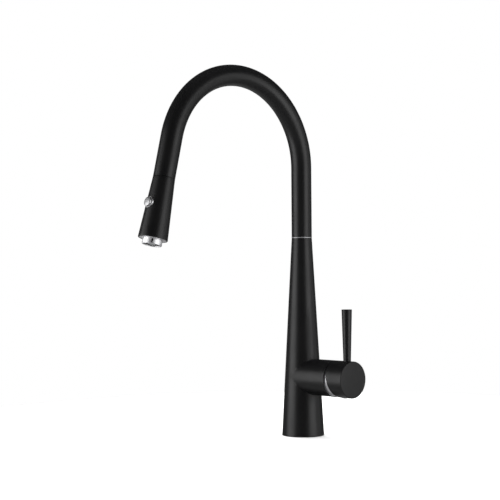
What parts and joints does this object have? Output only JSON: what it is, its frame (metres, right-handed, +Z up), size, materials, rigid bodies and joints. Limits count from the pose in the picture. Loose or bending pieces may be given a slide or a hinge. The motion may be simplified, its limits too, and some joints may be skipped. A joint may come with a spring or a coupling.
{
  "type": "pull-down kitchen faucet",
  "caption": "Kitchen faucet with slim conical body, side lever valve, swivelling gooseneck spout and pull-down spray head with push button.",
  "frame": {"origin": "centre of the base on the deck", "axes": "+Z up; the spout reaches towards -Y; the valve barrel and handle point along +X"},
  "size_m": [0.1108, 0.2739, 0.4461],
  "materials": {
    "black_coat": "matte black powder coat on brass",
    "chrome_trim": "polished chrome",
    "brass_work": "machined brass",
    "stainless": "plain stainless steel",
    "ceramic_disc": "lapped alumina",
    "white_plastic": "moulded acetal",
    "grey_plastic": "moulded glass-filled plastic",
    "black_rubber": "moulded rubber",
    "hose_cover": "braided nylon hose cover"
  },
  "bodies": {
    "faucet_body": {"body_shell": "black_coat", "base_gasket": "black_rubber", "deck_flange": "brass_work", "waterway_block": "brass_work", "hot_inlet_tube": "brass_work", "cold_inlet_tube": "brass_work", "mixed_outlet_tube": "brass_work", "cartridge_housing": "grey_plastic", "fixed_disc": "ceramic_disc", "cartridge_nut": "brass_work", "trim_dome": "chrome_trim", "hot_port_seal": "black_rubber", "cold_port_seal": "black_rubber", "outlet_port_seal": "black_rubber", "swivel_ring": "chrome_trim"},
    "spout": {"spout_nipple": "brass_work", "upper_swivel_bush": "white_plastic", "lower_swivel_bush": "white_plastic", "friction_ring": "black_rubber", "spout_clip": "stainless", "spout_tube": "black_coat", "pullout_hose": "hose_cover", "dock_bush": "grey_plastic"},
    "hose_run": {"hose_end": "hose_cover", "hose_ferrule": "stainless", "hose_nut": "brass_work", "hose_seal": "black_rubber"},
    "spray_head": {"head_shell": "black_coat", "head_core": "white_plastic", "check_valve": "grey_plastic", "button_bezel": "chrome_trim", "button_spring": "stainless", "end_plate": "chrome_trim", "aerator_housing": "chrome_trim", "stream_insert": "grey_plastic", "nozzle_disc": "black_rubber", "aerator_seal": "black_rubber"},
    "button": {"spray_button": "chrome_trim", "diverter_spool": "white_plastic"},
    "mixer_carrier": {"lever_carrier": "white_plastic", "pivot_pin": "stainless"},
    "handle": {"valve_stem": "stainless", "handle_cap": "black_coat", "lever": "black_coat", "index_plug": "chrome_trim", "set_screw": "stainless"},
    "slide_disc": {"moving_disc": "ceramic_disc", "disc_coupler": "white_plastic"}
  },
  "joints": [
    {"name": "spout_swivel", "type": "hinge", "parent": "faucet_body", "child": "spout", "pos_m": [0, 0, 0.2432], "axis": [0, 0, 1], "range_deg": [-180, 180]},
    {"name": "head_pull", "type": "slide", "parent": "spout", "child": "hose_run", "axis": [0, -0.2284, -0.9736], "range_m": [0, 0.2]},
    {"name": "head_spin", "type": "hinge", "parent": "hose_run", "child": "spray_head", "pos_m": [0, -0.21568, 0.30585], "axis": [0, -0.2284, -0.9736], "range_deg": [-180, 180]},
    {"name": "button_press", "type": "slide", "parent": "spray_head", "child": "button", "axis": [0, 0.9579, -0.2871], "range_m": [0, 0.0018], "stiffness_N_per_m": 900, "deforming": ["button_spring"]},
    {"name": "handle_turn", "type": "hinge", "parent": "faucet_body", "child": "mixer_carrier", "pos_m": [0.051, 0, 0.0722], "axis": [1, 0, 0], "range_deg": [-45, 45]},
    {"name": "handle_tilt", "type": "hinge", "parent": "mixer_carrier", "child": "handle", "pos_m": [0.051, 0, 0.0722], "axis": [0, 1, 0], "range_deg": [0, 22]},
    {"name": "disc_slide", "type": "slide", "parent": "mixer_carrier", "child": "slide_disc", "axis": [0, 0, 1], "range_m": [0, 0.0043]}
  ],
  "couplings": [
    {"joint": "disc_slide", "follows": "handle_tilt", "m_per_rad": 0.011}
  ]
}
